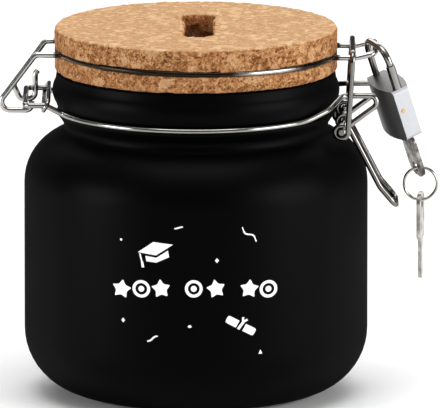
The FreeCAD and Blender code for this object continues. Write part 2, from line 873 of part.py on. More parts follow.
def make_shackle_spring(place):
    """Spring under the short leg."""
    wire = 0.3
    foot = -num("case_drop") - 7.5
    room = 1.6
    turns = 3
    item = doc.addObject("Part::Feature", "shackle_spring")
    item.Shape = coil(num("shackle_dia") / 2 - 0.2, (room - wire) / turns, turns, wire, foot + wire / 2)
    leg = FreeCAD.Placement(Vector(-num("shackle_spread"), 0, 0), FreeCAD.Rotation())
    item.Placement = place.multiply(leg)
    return item


# Keys and ring


def make_key(name, place):
    """Flat key. Its origin is in the blade's middle at the shoulder, with the blade up and the bow down."""
    blade = dim("blade_width") / 2
    bow = dim("bow_width") / 2
    end = -dim("bow_length")
    turn = 3.6
    body = new_body(name)
    levels = [level + num("case_drop") + num("case_height") for level in pin_levels()]
    line = Outline(body, name + "_outline", "XZ_Plane")
    line.start(-bow + turn, end).line(bow - turn, end)
    line.arc(bow, end + turn, turn, True).line(bow, -1.0 - turn * 0.6)
    line.arc(bow - turn * 0.6, -1.0, turn * 0.6, True)
    line.line(blade + 0.5, -1.0).line(blade + 0.5, -0.3).line(blade, -0.3)
    line.line(blade, dim("blade_length") - 1.4).line(blade - 1.2, dim("blade_length"))
    line.line(-blade + 1.4, dim("blade_length")).line(-blade + 0.2, dim("blade_length") - 1.2)
    # Each cut is a flat under its pin, with slopes between the flats
    for level, depth in reversed(list(zip(levels, BITTING))):
        line.line(-blade + depth, level + 0.5).line(-blade + depth, level - 0.5)
    line.line(-blade, levels[0] - 1.1).line(-blade, -0.3).line(-blade - 0.5, -0.3)
    line.line(-blade - 0.5, -1.0).line(-bow + turn * 0.6, -1.0)
    line.arc(-bow, -1.0 - turn * 0.6, turn * 0.6, True).line(-bow, end + turn)
    line.arc(-bow + turn, end, turn, True)
    pad(body, line.finish(), dim("key_thickness"))
    hole = circle_sketch(body, name + "_hole", "XZ_Plane", 0, -dim("key_hole_drop"), dim("key_hole_radius"))
    cut_through(body, hole, 6)
    body.Placement = place
    return body


def ring_centre(lock_key):
    """Centre of the split ring, which hangs in the lock key's hole."""
    hole = lock_key.multVec(Vector(0, 0, -num("key_hole_drop")))
    return hole + Vector(1.2, 0, -0.5 - num("ring_radius"))


def make_split_ring(centre):
    """Split ring: two turns of wire side by side, joined by a short step."""
    radius = num("ring_radius")
    wire = num("ring_wire_dia")
    near = -wire / 2 - 0.02
    far = -near
    step_angle = math.radians(40)
    sweep = 2 * math.pi - step_angle
    first = math.radians(200)

    def station(angle, offset):
        return centre + Vector(radius * math.cos(angle), offset, radius * math.sin(angle))

    def heading(angle):
        return Vector(-math.sin(angle), 0, math.cos(angle))

    def half_turn(angle, offset):
        """Half of one turn, which starts at the angle."""
        stations = [station(angle + sweep * part, offset) for part in (0, 0.25, 0.5)]
        return Part.Arc(*stations).toShape()

    begin = first + sweep
    finish = begin + step_angle
    rise = Part.BSplineCurve()
    rise.interpolate(
        Points=[station(begin, near), station(finish, far)],
        InitialTangent=heading(begin),
        FinalTangent=heading(finish),
    )
    path = Part.Wire(
        [
            half_turn(first, near),
            half_turn(first + sweep / 2, near),
            rise.toShape(),
            half_turn(finish, far),
            half_turn(finish + sweep / 2, far),
        ]
    )
    section = Part.Wire([Part.makeCircle(wire / 2, station(first, near), heading(first))])
    item = doc.addObject("Part::Feature", "split_ring")
    item.Shape = path.makePipeShell([section], True, False)
    return item


def main():
    lock = lock_placement()
    key_seat = FreeCAD.Placement(
        Vector(num("cylinder_offset"), 0, -num("case_drop") - num("case_height")), FreeCAD.Rotation()
    )
    lock_key = lock.multiply(key_seat)
    centre = ring_centre(lock_key)
    spare_hang = centre + Vector(0, 0, -num("ring_radius") - num("key_hole_radius") + 0.78)
    spare_turn = FreeCAD.Rotation(Vector(0, 0, 1), 80)
    spare_place = FreeCAD.Placement(
        spare_hang, spare_turn.multiply(FreeCAD.Rotation(Vector(0, 1, 0), 180))
    ).multiply(FreeCAD.Placement(Vector(0, 0, num("key_hole_drop")), FreeCAD.Rotation()))
    parts = [
        make_jar(),
        make_cork_lid(),
        make_lid_wire(),
        make_neck_wire(),
        make_hinge_link(),
        make_latch_lever(),
        make_latch_bail(),
        make_case(lock),
        make_shackle(lock),
        make_sleeve(lock),
        make_brass_pin(lock),
        make_bolt(lock),
        make_cylinder_plug(lock),
        make_key_pins(lock),
        make_driver_pins(lock),
        make_pin_springs(lock),
        make_chamber_plugs(lock),
        make_shackle_spring(lock),
        make_key("lock_key", lock_key),
        make_split_ring(centre),
        make_key("spare_key", spare_place),
    ]
    doc.recompute()
    for item in doc.Objects:
        if "Invalid" in item.State or "Error" in item.State:
            raise RuntimeError(f"{item.Label} did not recompute: {item.State}")
    os.makedirs("parts", exist_ok=True)
    for part in parts:
        shape = part.Shape
        if shape.isNull() or not shape.isValid():
            raise RuntimeError(f"{part.Label} has no valid shape")
        shape.exportStep(f"parts/{part.Label}.step")
        print(f"{part.Label}: {len(shape.Solids)} solid, {shape.Volume:.1f} mm3")


main()
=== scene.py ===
import bmesh
import bpy
import math
from mathutils import Matrix, Vector
from mathutils.noise import noise_vector, seed_set


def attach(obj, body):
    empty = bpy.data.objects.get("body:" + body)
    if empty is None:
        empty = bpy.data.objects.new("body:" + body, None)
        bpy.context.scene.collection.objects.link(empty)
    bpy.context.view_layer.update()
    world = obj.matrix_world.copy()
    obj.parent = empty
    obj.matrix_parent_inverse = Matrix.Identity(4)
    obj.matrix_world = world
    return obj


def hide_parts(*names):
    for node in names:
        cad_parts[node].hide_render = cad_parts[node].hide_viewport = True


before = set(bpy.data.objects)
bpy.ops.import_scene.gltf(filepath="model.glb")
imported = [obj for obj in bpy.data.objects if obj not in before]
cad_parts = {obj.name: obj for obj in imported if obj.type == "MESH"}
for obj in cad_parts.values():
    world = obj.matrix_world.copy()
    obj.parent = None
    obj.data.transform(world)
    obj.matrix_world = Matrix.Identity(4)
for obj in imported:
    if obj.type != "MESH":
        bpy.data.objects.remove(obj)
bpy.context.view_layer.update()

# Measures in millimetres, the solids' own but for the bead's top

MM = 0.001
JAR_RADIUS = 57.5
FOOT_RADIUS = 36.0
FOOT_ROUND = 21.5
SHOULDER_LEVEL = 71.0
SHOULDER_ROUND = 18.0
NECK_RADIUS = 44.3
NECK_ROUND = 3.0
RIDGE = (46.1, 94.0)
RIDGE_ROUND = 1.6
GROOVE_LOWER_LIP = (46.54, 95.313)
GROOVE_FLOOR = (45.85, 96.3)
GROOVE_UPPER_LIP = (46.54, 97.287)
GROOVE_ROUND = 1.05
BEAD_FOOT = (46.94, 98.4)
BEAD_TOP = (47.0, 105.7)
BEAD_ROUND = 6.7
RIM_RADIUS = 46.7
RIM_LEVEL = 109.0
RIM_ROUND = 1.2
MOUTH_RADIUS = 40.6
WALL = 3.0
BOTTOM = 5.0
BOTTOM_EASE = 1.5
CORK_TOP = 123.6
CORK_RADIUS = 47.25
SLOT_MIDDLE = 1.0
WIRE_LEVEL = 115.45
WIRE_SLOPE = math.tan(math.radians(0.75))
LOCK_TURN = -64.4
LOCK_PITCH = 6.4
LOCK_ROLL = 21.1

# How far the slot's painted shade, the crumbled and the broken stretches of the cork reach from the slot's
# middle

SLOT_SHADE_SIDE = 8.5
SLOT_SHADE_END = 22.5
CRUMBLED_SIDE = 6.8
CRUMBLED_END = 21.8
BROKEN_SIDE = 9
BROKEN_FROM = 9

# The photograph: its width in pixels, its pixels to a millimetre across, up and along the view,
# and the pixel where the middle of the jar's foot lies

PICTURE_PIXELS = 440
PIXELS_ACROSS = 2.985
PIXELS_UP = 2.934
PIXELS_ALONG = 0.558
FOOT_PIXEL = (196, 388.5)

# Camera: a long lens a little above the jar, which looks along +Y

ELEVATION = math.radians(10.8)
DISTANCE = 6.0
PICTURE_WIDTH = PICTURE_PIXELS * 0.335 * MM
target = Vector((8.04, 0, 62.9)) * MM
camera_data = bpy.data.cameras.new("photo_camera")
camera_data.sensor_width = 36
camera_data.lens = 36 * DISTANCE / PICTURE_WIDTH
camera_data.clip_start = 0.1
camera_data.clip_end = 50
camera = bpy.data.objects.new("photo_camera", camera_data)
camera.location = target + Vector((0, -math.cos(ELEVATION), math.sin(ELEVATION))) * DISTANCE
camera.rotation_euler = (math.pi / 2 - ELEVATION, 0, 0)
bpy.context.scene.collection.objects.link(camera)
bpy.context.scene.camera = camera
bpy.context.scene.view_settings.view_transform = "Standard"


# Shader maths


class Signal:
    """A shader socket that can be added, subtracted and multiplied like a number."""

    def __init__(self, tree, socket):
        self.tree = tree
        self.socket = socket

    def math(self, operation, first, second):
        return add_node(self.tree, "ShaderNodeMath", {"operation": operation}, {0: first, 1: second})

    def __add__(self, other):
        return self.math("ADD", self, other)

    def __radd__(self, other):
        return self.math("ADD", other, self)

    def __sub__(self, other):
        return self.math("SUBTRACT", self, other)

    def __rsub__(self, other):
        return self.math("SUBTRACT", other, self)

    def __mul__(self, other):
        return self.math("MULTIPLY", self, other)

    def __rmul__(self, other):
        return self.math("MULTIPLY", other, self)


def find_socket(sockets, key):
    """A socket by its number, its identifier or its name."""
    if isinstance(key, int):
        return sockets[key]
    for socket in sockets:
        if socket.identifier == key:
            return socket
    return sockets[key]


def add_node(tree, kind, settings=None, inputs=None, output=0):
    """Adds a node, sets its settings first, and then sets or links its sockets."""
    node = tree.nodes.new(kind)
    for name, value in (settings or {}).items():
        if name == "stops":
            elements = node.color_ramp.elements
            while len(elements) < len(value):
                elements.new(0.5)
            for element, (position, color) in zip(elements, value):
                element.position = position
                element.color = (*color, 1)
        else:
            setattr(node, name, value)
    for key, value in (inputs or {}).items():
        socket = find_socket(node.inputs, key)
        if isinstance(value, Signal):
            tree.links.new(value.socket, socket)
        else:
            socket.default_value = value
    return Signal(tree, find_socket(node.outputs, output))


def new_material(name, **constants):
    """A material and its tree. The constants are set on the shader's own sockets."""
    material = bpy.data.materials.new(name)
    material.use_nodes = True
    shader = material.node_tree.nodes["Principled BSDF"]
    for key, value in constants.items():
        shader.inputs[key.replace("_", " ")].default_value = value
    return material, material.node_tree, shader


def grey(level):
    return (level, level, level)


def part_of(tree, value, low, high, soft):
    """One between two limits and nought outside them, with soft ends."""
    rise = spread(tree, value, low - soft, low + soft)
    return rise * spread(tree, value, high - soft, high + soft, 1.0, 0.0)


def axis_of(tree, where, name):
    return add_node(tree, "ShaderNodeSeparateXYZ", inputs={"Vector": where}, output=name)


def reach_of(tree, where):
    """The distance from the jar's upright axis."""
    flat = add_node(tree, "ShaderNodeMapping", inputs={"Vector": where, "Scale": (1, 1, 0)})
    return add_node(tree, "ShaderNodeVectorMath", {"operation": "LENGTH"}, {0: flat}, "Value")


def cell_tone(tree, where, scale, channel):
    """A random tone for each cell of a mosaic."""
    cell = add_node(
        tree,
        "ShaderNodeTexVoronoi",
        inputs={"Vector": where, "Scale": scale, "Randomness": 1.0},
        output="Color",
    )
    return add_node(tree, "ShaderNodeSeparateColor", inputs={"Color": cell}, output=channel)


def place(tree, scale=(1, 1, 1)):
    """Object coordinates, stretched per axis."""
    here = add_node(tree, "ShaderNodeTexCoord", output="Object")
    return add_node(tree, "ShaderNodeMapping", inputs={"Vector": here, "Scale": scale})


def noise(tree, where, scale, detail=3.0, roughness=0.55):
    """Cloudy values about one half."""
    return add_node(
        tree,
        "ShaderNodeTexNoise",
        inputs={"Vector": where, "Scale": scale, "Detail": detail, "Roughness": roughness},
        output="Fac",
    )


def ramp(tree, value, *stops):
    """A colour for each value, from stops of a position and a colour."""
    return add_node(tree, "ShaderNodeValToRGB", {"stops": stops}, {"Fac": value}, "Color")


def mix(tree, factor, first, second, blend="MIX"):
    """Mixes two colours. A colour is a signal or three numbers."""
    colors = [value if isinstance(value, Signal) else (*value, 1) for value in (first, second)]
    return add_node(
        tree,
        "ShaderNodeMix",
        {"data_type": "RGBA", "blend_type": blend},
        {"Factor_Float": factor, "A_Color": colors[0], "B_Color": colors[1]},
        "Result_Color",
    )


def spread(tree, value, low, high, to_low=0.0, to_high=1.0):
    """Maps a stretch of one range to another, without going past its ends."""
    return add_node(
        tree,
        "ShaderNodeMapRange",
        {"clamp": True},
        {"Value": value, "From Min": low, "From Max": high, "To Min": to_low, "To Max": to_high},
    )


def bump(tree, height, distance, strength=1.0):
    """Relief from a height between nought and one, over a distance in metres."""
    return add_node(
        tree,
        "ShaderNodeBump",
        inputs={"Height": height, "Distance": distance, "Strength": strength},
    )


def feed(tree, shader, **signals):
    """Links signals to the shader's sockets."""
    for key, value in signals.items():
        tree.links.new(value.socket, shader.inputs[key.replace("_", " ")])


# Materials


def satin_black_coat():
    """Baked matte-black coat on glass: a faint orange peel, a few dull patches, and duller seen edge-on."""
    material, tree, shader = new_material("satin_black_coat", Specular_IOR_Level=0.03)
    where = place(tree)
    patches = noise(tree, where, 28, 4)
    peel = noise(tree, where, 1400, 2)
    dust = spread(tree, noise(tree, where, 2600, 1), 0.74, 0.8)
    facing = add_node(tree, "ShaderNodeLayerWeight", inputs={"Blend": 0.5}, output="Facing")
    duller = spread(tree, facing, 0.35, 0.85, 0.0, 0.38)
    feed(
        tree,
        shader,
        Base_Color=mix(tree, dust * 0.25, (0.0006, 0.0006, 0.0007), (0.005, 0.005, 0.0055)),
        Roughness=spread(tree, patches, 0.3, 0.7, 0.40, 0.46) + duller,
        Normal=bump(tree, peel, 0.00001, 0.25),
    )
    return material


def pressed_cork():
    """Pressed cork: fine granules of several tans, pale chips and brown pores, darker at its cut sides,
    with painted shade in the slot and the wire's groove.
    """
    material, tree, shader = new_material("pressed_cork", Specular_IOR_Level=0.1)
    where = place(tree)
    drift = noise(tree, where, 900, 2)
    shift = add_node(tree, "ShaderNodeVectorMath", {"operation": "SCALE"}, {0: drift, "Scale": 0.0009})
    bent = add_node(tree, "ShaderNodeVectorMath", {"operation": "ADD"}, {0: where, 1: shift})
    across, along, level = [axis_of(tree, where, name) for name in "XYZ"]
    reach = reach_of(tree, where)
    # Where the pressed top, the cut sides, the slot's walls and the wire's groove are
    top = spread(tree, level, (CORK_TOP - 0.6) * MM, (CORK_TOP - 0.15) * MM)
    slot = part_of(tree, across, (SLOT_MIDDLE - SLOT_SHADE_SIDE) * MM, (SLOT_MIDDLE + SLOT_SHADE_SIDE) * MM, 0.3 * MM)
    slot = slot * part_of(tree, along, -SLOT_SHADE_END * MM, SLOT_SHADE_END * MM, 0.3 * MM)
    slot = slot * (1 - top)
    # How deep in the slot a point lies, for the slot's painted shade
    depth_shade = spread(tree, level, (CORK_TOP - 2.6) * MM, (CORK_TOP - 6.4) * MM) * slot
    side = spread(tree, reach, (CORK_RADIUS - 1.25) * MM, (CORK_RADIUS - 0.65) * MM) * (1 - top)
    # The band round the wire's groove, which gets painted shade
    off_wire = level + across * WIRE_SLOPE - WIRE_LEVEL * MM
    groove = part_of(tree, off_wire, -0.85 * MM, 0.85 * MM, 0.18 * MM)
    groove = groove * spread(tree, reach, (CORK_RADIUS - 3.25) * MM, (CORK_RADIUS - 1.75) * MM)
    # Granules
    fine = cell_tone(tree, bent, 1700, "Red")
    grain = cell_tone(tree, bent, 900, "Green")
    chip = cell_tone(tree, bent, 470, "Blue")
    large_chip = cell_tone(tree, bent, 300, "Red")
    fibre = noise(tree, where, 2600, 4, 0.7)
    tone = fine * 0.34 + grain * 0.32 + chip * 0.12 + fibre * 0.5 - 0.14
    color = ramp(
        tree,
        tone,
        (0.22, (0.150, 0.058, 0.019)),
        (0.38, (0.330, 0.145, 0.053)),
        (0.54, (0.500, 0.258, 0.112)),
        (0.72, (0.640, 0.375, 0.185)),
        (0.92, (0.780, 0.530, 0.300)),
    )
    pale = spread(tree, large_chip, 0.90, 0.92) * spread(tree, fibre, 0.25, 0.6, 0.35, 0.8)
    color = mix(tree, pale, color, (0.74, 0.485, 0.26))
    pores = spread(tree, noise(tree, where, 1700, 4, 0.6), 0.57, 0.64)
    color = mix(tree, pores * (0.35 + side * 0.45 + slot * 0.5), color, (0.085, 0.028, 0.009))
    color = mix(tree, top * 0.52, color, (0.620, 0.382, 0.200))
    color = mix(tree, top * spread(tree, chip, 0.80, 0.90) * 0.42, color, (0.80, 0.60, 0.38))
    color = mix(tree, side, color, (0.77, 0.69, 0.63), "MULTIPLY")
    color = mix(tree, slot, color, (1.10, 0.86, 0.70), "MULTIPLY")
    # Painted shade in the slot: its walls a little darker, and near black deep down
    color = mix(tree, slot * 0.06 + depth_shade * 0.60, color, (0.060, 0.024, 0.009))
    # Painted shade in the wire's groove, under the cork's lip
    color = mix(tree, groove * 0.88, color, (0.018, 0.008, 0.004))
    height = fine * 0.25 + grain * 0.35 + fibre * 0.25 - pores * 0.8
    feed(
        tree,
        shader,
        Base_Color=color,
        Roughness=spread(tree, fibre, 0.3, 0.7, 0.8, 0.96),
        Normal=bump(tree, height, 0.00025, 0.8),
    )
    return material


def drawn_steel(name, tint, smooth, groove_shade=None):
    """Drawn stainless wire. In the lid's groove its colour is darkened as painted shade, but for a lighter
    stretch that is a painted highlight.
    """
    material, tree, shader = new_material(name, Metallic=1.0)
    where = place(tree)
    marks = noise(tree, where, 900, 3)
    spots = noise(tree, where, 160, 4)
    color = mix(tree, spread(tree, spots, 0.42, 0.66) * 0.35, tint, tuple(value * 0.72 for value in tint))
    rough = spread(tree, marks * 0.5 + spots * 0.5, 0.35, 0.65, smooth, smooth + 0.12)
    if groove_shade:
        # Painted shade darkens the wire in the groove; a stretch on the right is left light as a painted
        # highlight
        highlight_stretch = part_of(tree, axis_of(tree, where, "X"), 16 * MM, 32 * MM, 4 * MM)
        inside = spread(tree, reach_of(tree, where), 49 * MM, 50 * MM, 1.0, 0.0) * (1 - highlight_stretch * 0.8)
        color = mix(tree, inside, color, groove_shade)
        rough = rough + inside * 0.12
    feed(tree, shader, Base_Color=color, Roughness=rough, Normal=bump(tree, marks, 0.00001, 0.25))
    return material


def case_steel(name, dark, light, smooth, stretch):
    """Steel of the lock case with fine grinding lines, duller in patches."""
    material, tree, shader = new_material(name, Metallic=1.0)
    lines = noise(tree, place(tree, stretch), 2600, 4, 0.7)
    patches = noise(tree, place(tree), 130, 4)
    feed(
        tree,
        shader,
        Base_Color=mix(tree, lines * 0.6 + patches * 0.3, dark, light),
        Roughness=spread(tree, lines * 0.6 + patches * 0.4, 0.3, 0.7, smooth, smooth + 0.14),
        Normal=bump(tree, lines, 0.00002, 0.5),
    )
    return material


def stamped_nickel(name, plating, worn):
    """Nickel-plated stamped key: warm grey, with rubbed patches and small nicks."""
    material, tree, shader = new_material(name, Metallic=1.0)
    where = place(tree)
    wear = noise(tree, where, 240, 5, 0.65)
    nicks = spread(tree, noise(tree, where, 1300, 2), 0.66, 0.72)
    feed(
        tree,
        shader,
        Base_Color=mix(tree, spread(tree, wear, 0.40, 0.60), plating, worn),
        Roughness=spread(tree, wear, 0.35, 0.65, 0.26, 0.42) + nicks * 0.15,
        Normal=bump(tree, wear * 0.5 - nicks * 0.5, 0.00003, 0.5),
    )
    return material


def turned_brass():
    """Brass with fine turning marks and a light tarnish."""
    material, tree, shader = new_material("turned_brass", Metallic=1.0)
    where = place(tree)
    tarnish = noise(tree, where, 500, 4)
    feed(
        tree,
        shader,
        Base_Color=mix(tree, spread(tree, tarnish, 0.4, 0.65), (0.60, 0.41, 0.19), (0.33, 0.20, 0.085)),
        Roughness=spread(tree, tarnish, 0.3, 0.7, 0.24, 0.4),
        Normal=bump(tree, tarnish, 0.00002, 0.4),
    )
    return material


def screen_print():
    """Thick white screen print, matte, with slight thin spots."""
    material, tree, shader = new_material("screen_print", Specular_IOR_Level=0.25)
    thin = noise(tree, place(tree), 900, 3)
    feed(
        tree,
        shader,
        Base_Color=mix(tree, spread(tree, thin, 0.55, 0.75) * 0.2, (0.93, 0.93, 0.92), (0.78, 0.78, 0.77)),
        Roughness=spread(tree, thin, 0.3, 0.7, 0.5, 0.62),
        Normal=bump(tree, thin, 0.00001, 0.3),
    )
    return material


def pale_floor():
    """Matte studio floor, very slightly cloudy."""
    material, tree, shader = new_material("pale_floor", Specular_IOR_Level=0.1)
    feed(tree, shader, Base_Color=mix(tree, noise(tree, place(tree), 3, 2), grey(0.92), grey(0.95)))
    return material


COAT = satin_black_coat()
CORK = pressed_cork()
WIRE = drawn_steel("closure_steel", (0.31, 0.30, 0.285), 0.10)
LATCH = drawn_steel("latch_steel", (0.20, 0.192, 0.18), 0.08)
# The lid wire's colour carries painted shade in its groove
LID_WIRE = drawn_steel("lid_wire_steel", (0.47, 0.46, 0.44), 0.10, groove_shade=(0.024, 0.018, 0.013))
BRIGHT = drawn_steel("bright_steel", (0.29, 0.28, 0.268), 0.08)
RING = drawn_steel("ring_steel", (0.44, 0.415, 0.385), 0.08)
SPRING = drawn_steel("spring_steel", (0.52, 0.52, 0.53), 0.25)
CASE = case_steel("ground_case_face", (0.34, 0.335, 0.34), (0.60, 0.59, 0.595), 0.42, (1, 1, 0.06))
CASE_EDGE = case_steel("milled_case_edge", (0.38, 0.39, 0.405), (0.52, 0.53, 0.55), 0.36, (1, 1, 0.3))
CASE_TOP = case_steel("sawn_case_top", (0.10, 0.10, 0.10), (0.26, 0.26, 0.255), 0.38, (0.06, 1, 1))
NICKEL = stamped_nickel("stamped_nickel", (0.62, 0.59, 0.545), (0.32, 0.30, 0.27))
# A darker copy of the key nickel for the lock key: painted shade, not a different plating
SHADED_NICKEL = stamped_nickel("shaded_nickel", (0.36, 0.34, 0.31), (0.07, 0.064, 0.058))
BRASS = turned_brass()
PRINT = screen_print()


# Pieces

WELD = 0.002 * MM
CRUMBLE_SEED = 1


def new_piece(name, bm, body, materials, smooth=True):
    """Makes a mesh object from a bmesh and lets it ride on a body."""
    mesh = bpy.data.meshes.new(name)
    bm.to_mesh(mesh)
    bm.free()
    for material in materials:
        mesh.materials.append(material)
    for polygon in mesh.polygons:
        polygon.use_smooth = smooth
    piece = bpy.data.objects.new(name, mesh)
    bpy.context.scene.collection.objects.link(piece)
    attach(piece, body)
    return piece


def round_edges(piece, width, segments):
    """Rounds the sharp edges with live modifiers."""
    merge = piece.modifiers.new("Merge", "WELD")
    merge.merge_threshold = WELD
    edge = piece.modifiers.new("Edges", "BEVEL")
    edge.width = width
    edge.segments = segments
    edge.limit_method = "ANGLE"
    edge.angle_limit = math.radians(40)
    edge.harden_normals = False
    even = piece.modifiers.new("Even", "WEIGHTED_NORMAL")
    even.keep_sharp = True


class Outline:
    """A half section in the XZ plane, drawn from straight runs and arcs."""

    def __init__(self, x, z):
        self.points = [Vector((x, 0, z))]

    def line(self, x, z):
        self.points.append(Vector((x, 0, z)))
        return self

    def arc(self, x, z, radius, left):
        """An arc under a half circle, with its centre on the left or the right of the way there."""
        begin = self.points[-1]
        end = Vector((x, 0, z))
        chord = end - begin
        side = Vector((-chord.z, 0, chord.x)).normalized() * (1 if left else -1)
        centre = (begin + end) / 2 + side * math.sqrt(radius**2 - (chord.length / 2) ** 2)
        turn = 2 * math.asin(chord.length / 2 / radius) * (1 if left else -1)
        steps = max(3, math.ceil(abs(turn) / math.radians(7)))
        for step in range(1, steps + 1):
            angle = turn * step / steps
            arm = begin - centre
            across = Vector((-arm.z, 0, arm.x))
            self.points.append(centre + arm * math.cos(angle) + across * math.sin(angle))
        return self

    def spun(self, segments):
        """The section spun round the Z axis."""
        bm = bmesh.new()
        verts = [bm.verts.new(point * MM) for point in self.points]
        edges = [bm.edges.new(pair) for pair in zip(verts, verts[1:])]
        bmesh.ops.spin(
            bm,
            geom=verts + edges,
            cent=(0, 0, 0),
            axis=(0, 0, 1),
            angle=math.tau,
            steps=segments,
            use_merge=True,
            use_duplicate=False,
        )
        bmesh.ops.remove_doubles(bm, verts=bm.verts, dist=0.0005 * MM)
        bmesh.ops.recalc_face_normals(bm, faces=bm.faces)
        return bm


def make_jar():
    """Glass jar in the solid's section, but for a bead 0.5 mm shorter, spun fine for clean highlights."""
    # The shoulder's arc and the neck's hollow touch on the line between their centres
    shoulder_middle = JAR_RADIUS - SHOULDER_ROUND
    between = SHOULDER_ROUND + NECK_ROUND
    across = NECK_RADIUS + NECK_ROUND - shoulder_middle
    rise = math.sqrt(between**2 - across**2)
    share = SHOULDER_ROUND / between
    hollow_level = SHOULDER_LEVEL + rise
    diagonal = NECK_ROUND * math.sqrt(0.5)
    section = Outline(0, 0).line(FOOT_RADIUS, 0)
    section.arc(JAR_RADIUS, FOOT_ROUND, FOOT_ROUND, True).line(JAR_RADIUS, SHOULDER_LEVEL)
    section.arc(shoulder_middle + across * share, SHOULDER_LEVEL + rise * share, SHOULDER_ROUND, True)
    section.arc(NECK_RADIUS, hollow_level, NECK_ROUND, False)
    section.arc(NECK_RADIUS + NECK_ROUND - diagonal, hollow_level + diagonal, NECK_ROUND, False)
    # The groove that holds the neck wire, and the bead above it
    section.line(*RIDGE).arc(*GROOVE_LOWER_LIP, RIDGE_ROUND, True)
    section.arc(*GROOVE_FLOOR, GROOVE_ROUND, False).arc(*GROOVE_UPPER_LIP, GROOVE_ROUND, False)
    section.line(*BEAD_FOOT).arc(*BEAD_TOP, BEAD_ROUND, True)
    # The rim and the inner wall
    section.line(RIM_RADIUS, RIM_LEVEL - RIM_ROUND)
    section.arc(RIM_RADIUS - RIM_ROUND, RIM_LEVEL, RIM_ROUND, True)
    section.line(MOUTH_RADIUS + RIM_ROUND, RIM_LEVEL)
    section.arc(MOUTH_RADIUS, RIM_LEVEL - RIM_ROUND, RIM_ROUND, True)
    inner_radius = JAR_RADIUS - WALL
    inner_round = SHOULDER_ROUND - WALL
    inside = MOUTH_RADIUS - (inner_radius - inner_round)
    section.line(MOUTH_RADIUS, SHOULDER_LEVEL + math.sqrt(inner_round**2 - inside**2))
    section.arc(inner_radius, SHOULDER_LEVEL, inner_round, False)
    section.line(inner_radius, FOOT_ROUND + 1)
    section.arc(FOOT_RADIUS + BOTTOM_EASE, BOTTOM, FOOT_ROUND - WALL - BOTTOM_EASE, False)
    section.line(0, BOTTOM)
    jar = new_piece("jar_glass", section.spun(160), "jar_body", [COAT])
    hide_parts("jar")
    return jar


def crumble(point):
    """How far a point of the cork moves: the slot's walls most, the sides less, the top hardly."""
    x, y, _ = point / MM
    off_slot = abs(x - SLOT_MIDDLE)
    if off_slot < CRUMBLED_SIDE and abs(y) < CRUMBLED_END:
        reach = 1.0
    elif math.hypot(x, y) > 46:
        reach = 0.28
    else:
        reach = 0.06
    broad = noise_vector(point / (3.0 * MM))
    sharp = noise_vector(point / (1.0 * MM))
    move = (broad * 0.75 + sharp * 0.4) * reach * MM
    if off_slot < BROKEN_SIDE and BROKEN_FROM < y < CRUMBLED_END:
        # The far end of the slot is broken out wider, most on its left
        share = min(1, (y - BROKEN_FROM) / 3) * min(1, (BROKEN_SIDE - off_slot) / 3.4)
        share *= min(1, off_slot / 2)
        move.x += (0.4 if x > SLOT_MIDDLE else -0.9) * MM * share
    return move


def make_cork():
    """Cork lid: the solid's form in small faces, with crumbled sides, edges and slot."""
    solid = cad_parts["cork_lid"]
    bm = bmesh.new()
    bm.from_mesh(solid.data)
    bmesh.ops.remove_doubles(bm, verts=bm.verts, dist=WELD)
    bmesh.ops.recalc_face_normals(bm, faces=bm.faces)
    cork = new_piece("cork_blank", bm, "lid", [CORK])
    grain = cork.modifiers.new("Grain", "REMESH")
    grain.mode = "VOXEL"
    grain.voxel_size = 0.65 * MM
    grain.use_smooth_shade = True
    fine = bmesh.new()
    fine.from_object(cork, bpy.context.evaluated_depsgraph_get())
    bpy.data.objects.remove(cork)
    seed_set(CRUMBLE_SEED)
    for vert in fine.verts:
        vert.co += crumble(vert.co)
    disc_piece = new_piece("cork_disc", fine, "lid", [CORK])
    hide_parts("cork_lid")
    return disc_piece


# Print on the jar: small party figures, and a row of stars and coins

PRINT_PROUD = 0.05
PRINT_THICK = 0.07

# Corners and middles of the figures, in pixels of the photograph

CAP_BOARD = ((138.5, 251.5), (156.5, 254.8), (173.5, 244.2), (154, 241.5))
CAP_BAND_LEFT = ((146, 255.2), (157, 257.2), (157, 262), (147, 260.6))
CAP_BAND_RIGHT = ((157, 257.2), (168.5, 250), (169.6, 256.6), (157, 262))
TASSEL_CORD = ((139.8, 252.6), (141.4, 252.9), (143.6, 262), (142, 262.2))
TASSEL_END = ((141.6, 261), (143.8, 260.8), (145, 266.6), (142.4, 266.8))
SCROLL_MIDDLE = (240.5, 324.6)
ROW_LEVEL = 288


def wrapped(name, bm):
    """Cuts flat figures, drawn in X and Z as seen from the front, into strips and lays them on the jar."""
    reach = max(abs(vert.co.x) for vert in bm.verts)
    for cut in range(-math.ceil(reach), math.ceil(reach) + 1):
        bmesh.ops.bisect_plane(
            bm, geom=bm.verts[:] + bm.edges[:] + bm.faces[:], plane_co=(cut, 0, 0), plane_no=(1, 0, 0)
        )
    bmesh.ops.recalc_face_normals(bm, faces=bm.faces)
    for face in bm.faces:
        if face.normal.y > 0:
            face.normal_flip()
    for vert in bm.verts:
        angle = math.asin(vert.co.x / JAR_RADIUS)
        radius = JAR_RADIUS + PRINT_PROUD
        vert.co = Vector((radius * math.sin(angle), -radius * math.cos(angle), vert.co.z)) * MM
    bmesh.ops.solidify(bm, geom=bm.faces[:], thickness=PRINT_THICK * MM)
    return new_piece(name, bm, "jar_body", [PRINT], smooth=False)


def spot(px, py):
    """Where a place on the jar's front is, in millimetres across and up, from its pixel."""
    x = (px - FOOT_PIXEL[0]) / PIXELS_ACROSS
    front = math.sqrt(JAR_RADIUS**2 - x**2)
    z = (FOOT_PIXEL[1] - py + PIXELS_ALONG * front) / PIXELS_UP
    return Vector((x, 0, z))


